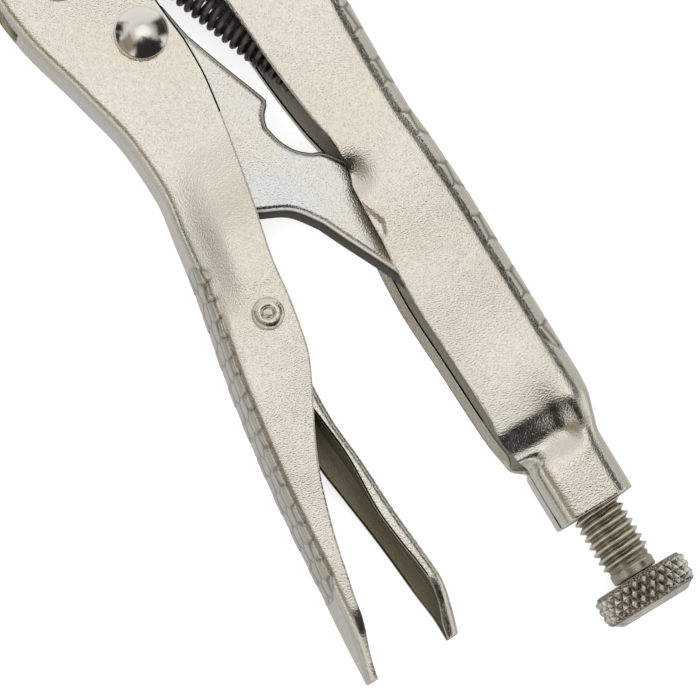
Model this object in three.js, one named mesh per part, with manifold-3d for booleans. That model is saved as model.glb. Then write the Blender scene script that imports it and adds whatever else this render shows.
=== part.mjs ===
// Locking pliers with curved jaws, a toggle link, a release lever and an adjusting screw. Millimetres.
//
// The pliers lie on their side. X runs along the adjusting screw from the tail to the jaws, with 0 at the
// tail of the fixed handle. Y runs from the fixed handle to the moving handle, and Z across the jaws.
// The last lines shift the whole tool so that its origin is at the middle of the bottom of its box.
import * as THREE from 'three';
import { mergeVertices } from 'three/addons/utils/BufferGeometryUtils.js';
import Module from 'manifold-3d';

const wasm = await Module();
wasm.setup();

// Sheet metal of the two handles and of the release lever.
const SHEET = 1.6;
const LEVER_SHEET = 1.2;
const LEVER_BEND = 1.4;
const GRIP_HALF_WIDTH = 7.75;
const NECK_HALF_WIDTH = 5.4;

// Plates between the handle walls, and the space kept beside each of them.
const GAP = 0.3;
const JAW_THICKNESS = 2 * (GRIP_HALF_WIDTH - SHEET - GAP);
const TANG_THICKNESS = 2 * (NECK_HALF_WIDTH - SHEET - GAP);

// Pivots, as [x, y].
const JAW_PIVOT = [146, 6];
const HANDLE_PIVOT = [131.2, 34];
const LINK_PIVOT = [114.3, 26.8];
const LINK_FOOT = [51.5, 0];
const LEVER_PIVOT = [59.2, 33.9];
const FOOT_RADIUS = 3.5;

// Adjusting screw, a 3/8 inch thread of 16 turns to the inch, and its knob.
const SCREW_RADIUS = 4.7625;
const PITCH = 1.5875;
const THREAD_DEPTH = 0.86;
const THREAD_START = -11.5;
const THREAD_TURNS = 17;
const SCREW_TIP = LINK_FOOT[0] - FOOT_RADIUS - 1.2;
const COLLAR_RADIUS = 4.25;
const SPIGOT_END = -18;
const KNOB_RADIUS = 9.15;
const KNOB_FRONT = -13.9;
const KNOB_BACK = -20.6;

// Tail of the fixed handle, rolled into a slightly flattened tube round the screw.
const TUBE_RADIUS = 7.2;
const TUBE_HALF_WIDTH = 6.85;
const SEAM_WIDTH = 0.5;
const TUBE_END = 11;
const TUBE_ROLLED_TO = 14.5;

// Front of the fixed handle.
const HANDLE_FRONT = 160.5;
const WALL_TOP_RADIUS = 10.8;
const HUB_RADIUS = 7.6;
const HUB_POCKET_RADIUS = 8;

// Rivets through the fixed jaw, as [x, y].
const REAR_RIVET = [131.5, -5.6];
const FRONT_RIVET = [155.6, -5];

// Front of the moving handle.
const NECK_FRONT_RADIUS = 12.3;
const NECK_BACK_END = 125.5;

// Tension spring and the two places that hold it.
const SPRING_REAR = [84.2, 2.2];
const SPRING_HOOK = [134, 20.5];
const SPRING_COIL_RADIUS = 2.7;
const SPRING_TURNS = 22;
const WIRE_RADIUS = 0.55;
const HOOK_HOLE_RADIUS = 1.3;

// Jaw teeth.
const TOOTH_DEPTH = 0.8;
const TOOTH_PITCH = 1.7;

const BEND_STEPS = 4;
const WALL_STEPS = 2;

const nickel = (name) => new THREE.MeshStandardMaterial({ name, color: 0xd8d2c2, metalness: 1, roughness: 0.35 });
const steel = (name) => new THREE.MeshStandardMaterial({ name, color: 0xa9aba4, metalness: 1, roughness: 0.4 });
const zinc = (name) => new THREE.MeshStandardMaterial({ name, color: 0xc3c8cc, metalness: 1, roughness: 0.3 });
const black = (name) => new THREE.MeshStandardMaterial({ name, color: 0x1c1c1d, metalness: 0.8, roughness: 0.45 });

// A smooth curve through [x, value] points that never overshoots them, as a function of x.
function through(points) {
  const spans = points.slice(1).map((p, i) => p[0] - points[i][0]);
  const rises = points.slice(1).map((p, i) => (p[1] - points[i][1]) / spans[i]);
  const slopes = points.map((_, i) => {
    const [before, after] = [rises[i - 1] ?? rises[i], rises[i] ?? rises[i - 1]];
    return before * after > 0 ? (2 * before * after) / (before + after) : 0;
  });
  return (x) => {
    const last = points.length - 2;
    const i = THREE.MathUtils.clamp(points.findLastIndex((p) => p[0] <= x), 0, last);
    const t = THREE.MathUtils.clamp((x - points[i][0]) / spans[i], 0, 1);
    const low = points[i][1] * (1 + 2 * t) + slopes[i] * spans[i] * t;
    const high = points[i + 1][1] * (3 - 2 * t) + slopes[i + 1] * spans[i] * (t - 1);
    return low * (1 - t) ** 2 + high * t ** 2;
  };
}

function steps(from, to, count) {
  return Array.from({ length: count }, (_, i) => THREE.MathUtils.lerp(from, to, i / count));
}

function signedVolume(positions, index) {
  const a = new THREE.Vector3();
  const b = new THREE.Vector3();
  const c = new THREE.Vector3();
  let volume = 0;
  for (let i = 0; i < index.length; i += 3) {
    a.fromArray(positions, 3 * index[i]);
    b.fromArray(positions, 3 * index[i + 1]);
    c.fromArray(positions, 3 * index[i + 2]);
    volume += a.dot(b.cross(c)) / 6;
  }
  return volume;
}

function closedGeometry(positions, index) {
  const outward = signedVolume(positions, index) > 0 ? index : index.slice().reverse();
  const geometry = new THREE.BufferGeometry();
  geometry.setAttribute('position', new THREE.Float32BufferAttribute(positions, 3));
  geometry.setIndex(outward);
  return geometry;
}

function toSolid(geometry) {
  const bare = geometry.clone();
  bare.deleteAttribute('normal');
  bare.deleteAttribute('uv');
  const merged = mergeVertices(bare, 1e-4);
  const vertProperties = new Float32Array(merged.attributes.position.array);
  const triVerts = new Uint32Array(merged.index.array);
  return new wasm.Manifold(new wasm.Mesh({ numProp: 3, vertProperties, triVerts }));
}

function toGeometry(solid) {
  const mesh = solid.getMesh();
  const geometry = new THREE.BufferGeometry();
  geometry.setAttribute('position', new THREE.BufferAttribute(mesh.vertProperties, 3));
  geometry.setIndex(new THREE.BufferAttribute(mesh.triVerts, 1));
  geometry.computeVertexNormals();
  return geometry;
}

function polygon(points) {
  return new THREE.Shape(points.map(([x, y]) => new THREE.Vector2(x, y)));
}

// A plate of a given thickness, cut along a side-view outline and centred on height z.
function plate(shape, thickness, z = 0, curveSegments = 12) {
  const geometry = new THREE.ExtrudeGeometry(shape, { depth: thickness, bevelEnabled: false, curveSegments });
  return toSolid(geometry.translate(0, 0, z - thickness / 2));
}

// A round bar across the tool, for cutting a hole at a pivot.
function drill([x, y], radius, length = 60) {
  const geometry = new THREE.CylinderGeometry(radius, radius, length, 32);
  return toSolid(geometry.rotateX(Math.PI / 2).translate(x, y, 0));
}

function block(low, high) {
  const size = high.map((value, i) => value - low[i]);
  const centre = high.map((value, i) => (value + low[i]) / 2);
  return toSolid(new THREE.BoxGeometry(...size).translate(...centre));
}

// Half of a channel's outer section, from the middle of its back to one opening edge, as [y, z] points.
function halfSection(back, edge, halfWidth, bend) {
  const side = Math.sign(edge - back);
  const bendY = back + side * bend;
  const points = [[back, 0]];
  for (let i = 0; i <= BEND_STEPS; i++) {
    const angle = (i / BEND_STEPS) * (Math.PI / 2);
    points.push([bendY - side * bend * Math.cos(angle), halfWidth - bend + bend * Math.sin(angle)]);
  }
  for (let i = 1; i <= WALL_STEPS; i++) {
    points.push([THREE.MathUtils.lerp(bendY, edge, i / WALL_STEPS), halfWidth]);
  }
  return points;
}

// Moves a half section towards the tube about the screw, by a share between 0 and 1.
function rolled(points, share) {
  const lengths = [0];
  for (let i = 1; i < points.length; i++) {
    lengths.push(lengths[i - 1] + Math.hypot(points[i][0] - points[i - 1][0], points[i][1] - points[i - 1][1]));
  }
  const fullTurn = Math.PI - SEAM_WIDTH / 2 / TUBE_RADIUS;
  return points.map(([y, z], i) => {
    const angle = (fullTurn * lengths[i]) / lengths.at(-1);
    const round = [-TUBE_RADIUS * Math.cos(angle), TUBE_HALF_WIDTH * Math.sin(angle)];
    return [THREE.MathUtils.lerp(y, round[0], share), THREE.MathUtils.lerp(z, round[1], share)];
  });
}

// The inner face of a sheet whose outer face follows the points, as [y, z] points.
function insideOf(points, side, sheet) {
  return points.map(([y, z], i) => {
    const before = points[Math.max(i - 1, 0)];
    const after = points[Math.min(i + 1, points.length - 1)];
    const run = [after[0] - before[0], after[1] - before[1]];
    const scale = (sheet * side) / Math.hypot(...run);
    return [y + run[1] * scale, z - run[0] * scale];
  });
}

// A sheet folded into a channel along X, which opens in Y the way that side says. sectionAt gives the half section
// above the screw's height in Z, and lowerAt the one below it.
function channel(stations, sectionAt, side, sheet = SHEET, lowerAt = sectionAt) {
  const positions = [];
  const index = [];
  let count = 0;
  for (const x of stations) {
    const mirrored = lowerAt(x).slice(1).reverse().map(([y, z]) => [y, -z]);
    const outer = mirrored.concat(sectionAt(x));
    const ring = outer.concat(insideOf(outer, side, sheet).reverse());
    count = ring.length;
    for (const [y, z] of ring) {
      positions.push(x, y, z);
    }
  }
  const quad = (a, b, c, d) => index.push(a, b, c, a, c, d);
  for (let i = 0; i < stations.length - 1; i++) {
    for (let j = 0; j < count; j++) {
      const next = (j + 1) % count;
      quad(i * count + j, (i + 1) * count + j, (i + 1) * count + next, i * count + next);
    }
  }
  const last = (stations.length - 1) * count;
  for (let j = 0; j < count / 2 - 1; j++) {
    quad(j, j + 1, count - 2 - j, count - 1 - j);
    quad(last + j, last + count - 1 - j, last + count - 2 - j, last + j + 1);
  }
  return toSolid(closedGeometry(positions, index));
}

// A toothed grip from one point to another, bowed into the jaw by sag, as outline points.
function gripFace(from, to, sag, side) {
  const start = new THREE.Vector2(...from);
  const run = new THREE.Vector2(...to).sub(start);
  const across = new THREE.Vector2(-run.y, run.x).normalize().multiplyScalar(side);
  const teeth = Math.round(run.length() / TOOTH_PITCH);
  const points = [];
  for (let i = 0; i <= 2 * teeth; i++) {
    const t = i / (2 * teeth);
    const depth = 4 * sag * t * (1 - t) + (i % 2) * TOOTH_DEPTH;
    const point = start.clone().addScaledVector(run, t).addScaledVector(across, depth);
    points.push([point.x, point.y]);
  }
  return points;
}

// Points of an arc about a centre, between two angles in degrees.
function arc([x, y], radius, from, to, count) {
  return Array.from({ length: count + 1 }, (_, i) => {
    const angle = THREE.MathUtils.degToRad(THREE.MathUtils.lerp(from, to, i / count));
    return [x + radius * Math.cos(angle), y + radius * Math.sin(angle)];
  });
}

// Points along a smooth curve through the given ones.
function smooth(points, count) {
  const curve = new THREE.SplineCurve(points.map(([x, y]) => new THREE.Vector2(x, y)));
  return curve.getPoints(count).map((p) => [p.x, p.y]);
}

// A turned piece: profile points are [radius, height], about an axis along Z through [x, y].
function turned(profile, [x, y], segments = 20) {
  const geometry = new THREE.LatheGeometry(profile.map(([r, z]) => new THREE.Vector2(r, z)), segments);
  return geometry.rotateX(Math.PI / 2).translate(x, y, 0);
}

// A rivet with a domed head at each end, set against walls at half the given grip.
function rivet(pivot, shank, head, rise, grip) {
  const base = grip / 2 + 0.1;
  const rim = base + 0.35 * rise;
  const shoulder = base + 0.85 * rise;
  const upper = [[shank, base], [head, base], [head, rim], [0.72 * head, shoulder], [0, base + rise]];
  const lower = upper.map(([r, z]) => [r, -z]).reverse();
  return turned([...lower, ...upper], pivot);
}

const fixedBack = through([
  [0, -TUBE_RADIUS], [10, -7.25], [12.7, -7.7], [16.3, -8.6], [20, -9.3], [23, -9.6], [58, -9.5], [72, -9],
  [80, -8.4], [98, -8.8], [112, -9.3], [126, -10.6], [140, -12.3], [160.5, -13.5],
]);
const fixedEdge = through([
  [12, 8.2], [16, 8.9], [22, 9.4], [48, 10.3], [60, 9.7], [68, 9.2], [79, 7.7], [90, 9.1], [108, 10.6],
  [125, 12.4], [134, 14.4], [140, 16.2], [146, 16.8], [160.5, 16.8],
]);
const fixedHalfWidth = through([[0, TUBE_HALF_WIDTH], [11, 6.9], [17, 7.4], [24, GRIP_HALF_WIDTH]]);
const fixedBend = through([[0, 4.5], [96, 4.5], [118, 2.2]]);

// The fixed handle: a channel whose tail is rolled into a tube, with a tab in its back for the spring.
function fixedHandle() {
  const stations = [0, ...steps(10, 25, 9), ...steps(25, HANDLE_FRONT, 15), HANDLE_FRONT];
  const body = channel(stations, (x) => {
    const share = 1 - THREE.MathUtils.smoothstep(x, TUBE_END, TUBE_ROLLED_TO);
    return rolled(halfSection(fixedBack(x), fixedEdge(x), fixedHalfWidth(x), fixedBend(x)), share);
  }, 1);
  const side = polygon([
    [-1, -20], [HANDLE_FRONT, -20], [HANDLE_FRONT, -12],
    ...arc(JAW_PIVOT, WALL_TOP_RADIUS, 0, 90, 10), [-1, JAW_PIVOT[1] + WALL_TOP_RADIUS],
  ]);
  const [tabX, tabY] = SPRING_REAR;
  const tab = block([tabX - 0.8, fixedBack(tabX) + 0.5, -2.2], [tabX + 0.8, tabY + 2, 2.2]);
  const tabHole = new THREE.CylinderGeometry(HOOK_HOLE_RADIUS, HOOK_HOLE_RADIUS, 6, 16);
  const bore = new THREE.CylinderGeometry(SCREW_RADIUS + GAP, SCREW_RADIUS + GAP, 60, 32);
  return body
    .intersect(plate(side, 40))
    .add(tab)
    .subtract(toSolid(tabHole.rotateZ(Math.PI / 2).translate(tabX, tabY, 0)))
    .subtract(toSolid(bore.rotateZ(Math.PI / 2)))
    .subtract(drill(JAW_PIVOT, 4.3))
    .subtract(drill(REAR_RIVET, 2.3))
    .subtract(drill(FRONT_RIVET, 2.3));
}

const FIXED_GRIP = [[165.6, 4.6], [206, 13.4]];
const MOVING_GRIP = [[165.4, 11.4], [204.4, 19.9]];
const GRIP_SAG = 3.2;

// The fixed jaw: its tail lies between the handle walls, and its cutting edge is beside the jaw pivot.
function fixedJaw() {
  const seat = (x) => [x, fixedBack(x) + SHEET + GAP];
  const outline = [
    ...[124, 130, 136, 142, 148, 154, 160.8].map(seat),
    ...smooth([[161, -13.4], [173, -12.6], [185, -9], [196, -2], [203.5, 5], [207.6, 12]], 14),
    ...gripFace(FIXED_GRIP[0], FIXED_GRIP[1], GRIP_SAG, -1).reverse(),
    [163.6, 7.2],
    ...arc(JAW_PIVOT, HUB_POCKET_RADIUS, 0, -125, 14),
    [138, -2.4], [124, -2.4],
  ];
  return plate(polygon(outline), JAW_THICKNESS)
    .subtract(drill(REAR_RIVET, 2.3))
    .subtract(drill(FRONT_RIVET, 2.3));
}

// The moving jaw: thick at the jaw and hub, with a thinner tang inside the neck of the moving handle.
function movingJaw() {
  const outline = [
    ...arc(HANDLE_PIVOT, 9, 90, 195, 10),
    [125.6, 25], [128.6, 19], [136, 11.5],
    ...arc(JAW_PIVOT, HUB_RADIUS, 160, 368, 20),
    [163.4, 9],
    ...gripFace(MOVING_GRIP[0], MOVING_GRIP[1], GRIP_SAG, 1),
    ...smooth([[205.8, 21.2], [201, 28.5], [191, 34.6], [178, 38], [160, 40], [145, 42.4]], 12),
  ];
  const tangSide = polygon([[110, 8.5], [135, 8.5], [138.5, 14], [139.5, 24], [131.2, 36], [131.2, 47], [110, 47]]);
  const depth = (JAW_THICKNESS - TANG_THICKNESS) / 2 + 1;
  const height = (TANG_THICKNESS + depth) / 2;
  const [x, y] = HANDLE_PIVOT;
  const relief = new THREE.Shape().absarc(x, y, NECK_FRONT_RADIUS + 0.7, 0, 2 * Math.PI);
  let jaw = plate(polygon(outline), JAW_THICKNESS);
  for (const z of [height, -height]) {
    jaw = jaw.subtract(plate(relief, depth, z)).subtract(plate(tangSide, depth, z));
  }
  return jaw
    .subtract(drill(JAW_PIVOT, 4.3))
    .subtract(drill(HANDLE_PIVOT, 3.3))
    .subtract(drill(SPRING_HOOK, HOOK_HOLE_RADIUS));
}

const movingBack = through([
  [-6, 51.9], [-3.3, 51.5], [4, 50.4], [12, 49.6], [22, 48.8], [32, 47.8], [41.5, 46.5], [51, 45], [60.4, 43.1],
  [69.6, 41.3], [79, 39.9], [88, 38.7], [97, 39.1], [110, 41.9], [124.5, 45.6], [131.2, 46.3], [145, 46.3],
]);
const movingEdge = through([
  [-6, 49.6], [-3, 49], [1, 48.1], [8, 46.8], [16, 45], [22, 43.4], [31, 40.3], [41, 35.7], [50, 31.2], [60, 28.9],
  [73, 26.6], [88, 23.1], [97, 21.5], [106, 20.6], [114.6, 20.8], [123, 21.4], [131.2, 21.7], [145, 21.7],
]);
const movingHalfWidth = through([
  [-6, 2.3], [-3, 3.7], [0, 5.5], [3, 7], [7, 7.7], [68, GRIP_HALF_WIDTH], [73, 7.4], [82, 5.7],
  [87, NECK_HALF_WIDTH], [145, NECK_HALF_WIDTH],
]);
const movingBend = through([[-6, 1.8], [3, 2.2], [145, 2.2]]);

// The moving handle: a channel with a tapered tail, and a narrow neck whose walls straddle jaw and link.
function movingHandle() {
  const stations = [...steps(-6, 10, 7), ...steps(10, 145, 18), 145];
  const body = channel(stations, (x) => (
    halfSection(movingBack(x), movingEdge(x), movingHalfWidth(x), movingBend(x))
  ), -1);
  const [x, y] = HANDLE_PIVOT;
  const front = arc(HANDLE_PIVOT, NECK_FRONT_RADIUS, -90, 90, 16);
  const side = polygon([[-10, 10], [x, 10], ...front, [x, 60], [-10, 60]]);
  const inner = NECK_HALF_WIDTH - SHEET;
  return body
    .intersect(plate(side, 40))
    .subtract(block([NECK_BACK_END, y, -inner], [x + 20, 60, inner]))
    .subtract(drill(HANDLE_PIVOT, 3.3))
    .subtract(drill(LINK_PIVOT, 2.8))
    .subtract(drill(LEVER_PIVOT, 2.1));
}

// The toggle link: from the link rivet to its foot, which bears on the tip of the screw.
function toggleLink() {
  const outline = [
    ...arc(LINK_PIVOT, 7, -65, 95, 10),
    ...smooth([[108, 33.3], [96, 31.2], [84, 29.4], [78, 28.2], [75.9, 25.2], [73.2, 19.9], [68.6, 16.3]], 12),
    ...smooth([[63.7, 14], [56, 10.2], [51.5, 8.2], [48.8, 5.5]], 5),
    ...arc(LINK_FOOT, FOOT_RADIUS, 170, 285, 8),
    ...smooth([[60, -1.6], [70, 2.4], [79, 8.4], [82.4, 12.9], [87.4, 15.3]], 9),
    [91.2, 14.5], [93.1, 13.1], [102.2, 16.4], [110.2, 19.2],
  ];
  return plate(polygon(outline.reverse()), TANG_THICKNESS).subtract(drill(LINK_PIVOT, 2.8));
}

const leverBack = through([
  [-6.4, 33.2], [-2, 32.1], [4, 31.2], [10, 31.6], [19, 32.3], [28, 32.6], [38, 33.3], [50, 32.6], [71.5, 29.8],
]);
const leverUpperEdge = through([
  [-6.4, 35.5], [-3.8, 35.1], [0.2, 33.9], [4, 33.4], [8, 33.7], [12, 34.3], [20, 35], [30, 34.6], [38, 35.2],
  [44, 36], [52, 37.4], [59, 38.4], [65, 37], [71.5, 32.6],
]);
const leverLowerEdge = through([
  [-6.4, 35.2], [-1.4, 34.9], [3, 35.2], [14, 36.1], [25, 37.4], [32, 38.2], [38, 38.4], [59, 38.4], [65, 37],
  [71.5, 32.6],
]);
const leverHalfWidth = through([[-6.4, 2.2], [-3, 3.6], [0.5, 5], [5, 5.8], [54, 5.8], [60, 5.5], [71.5, 3.9]]);

// The release lever: a small channel on its own rivet, with a thumb pad at its tail and walls of unequal height.
function releaseLever() {
  const stations = [...steps(-6.4, 8, 6), ...steps(8, 71.5, 10), 71.5];
  const sectionTo = (edge) => (x) => halfSection(leverBack(x), edge(x), leverHalfWidth(x), LEVER_BEND);
  const body = channel(stations, sectionTo(leverUpperEdge), 1, LEVER_SHEET, sectionTo(leverLowerEdge));
  return body.subtract(drill(LEVER_PIVOT, 2.1));
}

// The adjusting screw, with its thread drawn as rings where it can be seen, and a spigot for the knob.
function adjustingScrew() {
  const root = SCREW_RADIUS - THREAD_DEPTH;
  const profile = [
    [0, SPIGOT_END], [3.6, SPIGOT_END], [3.6, KNOB_FRONT + 0.1], [COLLAR_RADIUS, KNOB_FRONT + 0.1],
    [COLLAR_RADIUS, THREAD_START],
  ];
  for (let turn = 0; turn < THREAD_TURNS; turn++) {
    const x = THREAD_START + turn * PITCH;
    profile.push([root, x + 0.1 * PITCH], [SCREW_RADIUS, x + 0.6 * PITCH]);
  }
  profile.push([root, THREAD_START + THREAD_TURNS * PITCH], [SCREW_RADIUS, THREAD_START + THREAD_TURNS * PITCH + 1]);
  profile.push([SCREW_RADIUS, SCREW_TIP - 1.2], [root - 0.3, SCREW_TIP], [0, SCREW_TIP]);
  const geometry = new THREE.LatheGeometry(profile.map(([r, x]) => new THREE.Vector2(r, x)), 20);
  return geometry.rotateZ(-Math.PI / 2);
}

// The knob, pressed on the spigot of the screw.
function knob() {
  const profile = [
    [0, KNOB_BACK], [6.6, KNOB_BACK], [8.1, KNOB_BACK + 1], [KNOB_RADIUS, KNOB_BACK + 2.1],
    [KNOB_RADIUS, KNOB_FRONT - 1], [KNOB_RADIUS - 1, KNOB_FRONT], [3.9, KNOB_FRONT],
    [3.9, SPIGOT_END - GAP], [0, SPIGOT_END - GAP],
  ];
  const geometry = new THREE.LatheGeometry(profile.map(([r, x]) => new THREE.Vector2(r, x)), 36);
  return geometry.rotateZ(-Math.PI / 2);
}

// The tension spring: close coils along its axis, an end through the tab and a hook in the moving jaw.
function jawSpring() {
  const rear = new THREE.Vector3(...SPRING_REAR, 0);
  const hook = new THREE.Vector3(...SPRING_HOOK, 0);
  const along = hook.clone().sub(rear).normalize();
  const across = new THREE.Vector3(-along.y, along.x, 0);
  const at = (distance, side, z) => rear.clone().addScaledVector(along, distance).addScaledVector(across, side)
    .setZ(z);
  const coilStart = 4;
  const coilLength = 38.5;
  const points = [at(-2, 0, 0), at(0, 0, 0), at(2, 0, 0)];
  const stepsPerTurn = 8;
  for (let i = 0; i <= SPRING_TURNS * stepsPerTurn; i++) {
    const turn = i / stepsPerTurn;
    const angle = 2 * Math.PI * turn;
    const radius = SPRING_COIL_RADIUS * Math.min(1, 0.35 + 1.3 * turn, 0.35 + 1.3 * (SPRING_TURNS - turn));
    const distance = coilStart + (coilLength * turn) / SPRING_TURNS;
    points.push(at(distance, radius * Math.cos(angle), radius * Math.sin(angle)));
  }
  const reach = hook.distanceTo(rear);
  points.push(at(reach - 8, 0, 2.6), at(reach - 5, 0, 4.35), at(reach - 2, 0, 4.5));
  points.push(at(reach - 0.2, 0, 3.4), at(reach, 0, 0.8));
  const path = new THREE.CatmullRomCurve3(points, false, 'centripetal');
  const wire = new THREE.Shape(arc([0, 0], WIRE_RADIUS, 0, 288, 4).map(([x, y]) => new THREE.Vector2(x, y)));
  return new THREE.ExtrudeGeometry(wire, { extrudePath: path, steps: 190, bevelEnabled: false });
}

const pliers = new THREE.Group();

function addPiece(name, shape, material) {
  const geometry = shape instanceof THREE.BufferGeometry ? shape : toGeometry(shape);
  const mesh = new THREE.Mesh(geometry, material(name));
  mesh.name = name;
  pliers.add(mesh);
}

addPiece('fixed_handle', fixedHandle(), nickel);
addPiece('fixed_jaw', fixedJaw(), nickel);
addPiece('fixed_jaw_rear_rivet', rivet(REAR_RIVET, 2, 3.6, 1, 2 * GRIP_HALF_WIDTH), steel);
addPiece('fixed_jaw_front_rivet', rivet(FRONT_RIVET, 2, 3.6, 1, 2 * GRIP_HALF_WIDTH), steel);
addPiece('jaw_pivot_rivet', rivet(JAW_PIVOT, 4, 6.4, 1.3, 2 * GRIP_HALF_WIDTH), steel);
addPiece('moving_jaw', movingJaw(), nickel);
addPiece('handle_pivot_rivet', rivet(HANDLE_PIVOT, 3, 5.2, 1.4, 2 * NECK_HALF_WIDTH), steel);
addPiece('moving_handle', movingHandle(), nickel);
addPiece('link_rivet', rivet(LINK_PIVOT, 2.5, 5, 1.8, 2 * NECK_HALF_WIDTH), steel);
addPiece('toggle_link', toggleLink(), zinc);
addPiece('release_lever', releaseLever(), nickel);
addPiece('lever_rivet', rivet(LEVER_PIVOT, 1.8, 2.95, 0.9, 2 * GRIP_HALF_WIDTH), steel);
addPiece('adjusting_screw', adjustingScrew(), steel);
addPiece('knob', knob(), steel);
addPiece('jaw_spring', jawSpring(), black);

const box = new THREE.Box3().setFromObject(pliers);
const centre = box.getCenter(new THREE.Vector3());
pliers.position.set(-centre.x, -centre.y, -box.min.z);

export default pliers;
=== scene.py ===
"""Looks of the locking pliers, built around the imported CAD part.

Shapes are written in millimetres in the tool's own frame: X runs along the adjusting screw from the tail of
the fixed handle to the jaws, Y from the fixed handle to the moving handle, and Z across the handles, with the
screw's axis at Y = 0 and Z = 0. place() turns them into metres in the row frame.
"""

import math

import bmesh
import bpy
import numpy as np
from mathutils import Matrix, Vector


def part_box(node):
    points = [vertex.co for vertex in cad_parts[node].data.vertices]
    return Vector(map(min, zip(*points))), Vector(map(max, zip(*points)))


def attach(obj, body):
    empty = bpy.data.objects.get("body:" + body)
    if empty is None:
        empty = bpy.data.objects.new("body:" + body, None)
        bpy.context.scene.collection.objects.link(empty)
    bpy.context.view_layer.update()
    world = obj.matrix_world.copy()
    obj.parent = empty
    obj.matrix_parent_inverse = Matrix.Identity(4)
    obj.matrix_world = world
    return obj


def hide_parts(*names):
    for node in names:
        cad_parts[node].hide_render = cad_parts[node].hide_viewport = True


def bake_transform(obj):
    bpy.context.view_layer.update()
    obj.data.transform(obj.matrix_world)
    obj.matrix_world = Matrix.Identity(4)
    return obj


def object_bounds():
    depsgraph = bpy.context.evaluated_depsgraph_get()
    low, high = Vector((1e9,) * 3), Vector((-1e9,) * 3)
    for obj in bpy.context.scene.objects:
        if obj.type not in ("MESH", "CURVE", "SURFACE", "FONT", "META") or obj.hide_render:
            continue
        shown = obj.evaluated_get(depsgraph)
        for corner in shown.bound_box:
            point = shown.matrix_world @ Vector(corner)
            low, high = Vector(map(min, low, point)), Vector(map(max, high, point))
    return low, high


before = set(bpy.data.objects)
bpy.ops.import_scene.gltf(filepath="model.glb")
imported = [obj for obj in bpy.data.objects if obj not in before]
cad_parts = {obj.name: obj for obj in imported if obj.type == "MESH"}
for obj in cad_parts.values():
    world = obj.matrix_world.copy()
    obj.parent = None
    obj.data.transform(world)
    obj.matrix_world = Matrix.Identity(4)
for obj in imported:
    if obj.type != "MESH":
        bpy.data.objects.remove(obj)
cad_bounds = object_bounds()

MM = 0.001

# Sheet metal, and half the width of its channels.
SHEET = 1.6
LEVER_SHEET = 1.2
LEVER_BEND = 1.4
LEVER_KNURL = 1.5
MOVING_BEND = 1.8
GRIP_HALF = 7.75
NECK_HALF = 5.4
RIM = 0.35
NICK_DEPTH = 0.3
ROUNDING = (0, math.pi / 6, math.pi / 3, math.pi / 2)

# Pivots, as (x, y).
JAW_PIVOT = (146, 6)
HANDLE_PIVOT = (131.2, 34)
LINK_PIVOT = (114.3, 26.8)
LINK_FOOT = (51.5, 0)
LEVER_PIVOT = (59.2, 33.9)
REAR_RIVET = (131.5, -5.6)
FRONT_RIVET = (155.6, -5)

# Plates between the handle walls.
JAW_THICKNESS = 11.7
TANG_THICKNESS = 7.0
JAW_RIM = 1.9
LINK_RIM = 1.4
DRILL_LENGTH = 30

# Angles between faces above which an edge is sharp, in degrees.
SHARP = 40
PLATE_SHARP = 35

# Adjusting screw and knob.
SCREW_RADIUS = 4.7625
PITCH = 1.5875
THREAD_DEPTH = 0.86
THREAD_START = -11.5
THREAD_END = 43.5
SCREW_TIP = 46.8
COLLAR_RADIUS = 4.25
KNOB_FRONT = -13.9
KNOB_BACK = -20.6
KNOB_RADIUS = 9.15
KNURL_DEPTH = 0.95
KNURL_PITCH = 3.0

# Tail tube of the fixed handle.
TUBE_RADIUS = 7.2
TUBE_HALF = 6.85
TUBE_CORNER = 4.2
SEAM_CORNER = 2.4
SEAM_WIDTH = 0.5
TUBE_END = 10.5
TUBE_ROLLED_TO = 14.2

# Fronts of the two handles.
FIXED_FRONT = 160.5
FIXED_FRONT_TOP = 156.8
FIXED_SHEAR_FROM = 134
WALL_TOP_RADIUS = 10.8
NECK_FRONT_RADIUS = 12.3
NECK_BACK_END = 125.5
MOVING_SHEAR_FROM = 114
MOVING_END = 145

# Jaws and spring.
FIXED_GRIP = ((165.6, 4.6), (206, 13.4))
MOVING_GRIP = ((165.4, 11.4), (204.4, 19.9))
GRIP_SAG = 3.2
TOOTH_DEPTH = 0.8
TOOTH_PITCH = 1.7
SPRING_REAR = (84.2, 2.2)
SPRING_HOOK = (134, 20.5)
COIL_RADIUS = 2.7
SPRING_TURNS = 22
WIRE_RADIUS = 0.55

HOLE_RADII = {
    JAW_PIVOT: 4.3, HANDLE_PIVOT: 3.3, LINK_PIVOT: 2.8, LEVER_PIVOT: 2.1,
    REAR_RIVET: 2.3, FRONT_RIVET: 2.3, SPRING_HOOK: 1.3,
}


def tool_origin():
    """The tail end of the fixed handle on the screw's axis, in the row frame, in metres."""
    tail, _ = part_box("fixed_handle")
    low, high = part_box("adjusting_screw")
    return Vector((tail.x, (low.y + high.y) / 2, (low.z + high.z) / 2))


ORIGIN = tool_origin()


def place(points):
    """Points in millimetres in the tool's frame, as metres in the row frame."""
    return np.array(ORIGIN) + np.asarray(points, float) * MM


def spot(x, y, z=0):
    return Vector(place((x, y, z)))


# ---- curves

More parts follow.
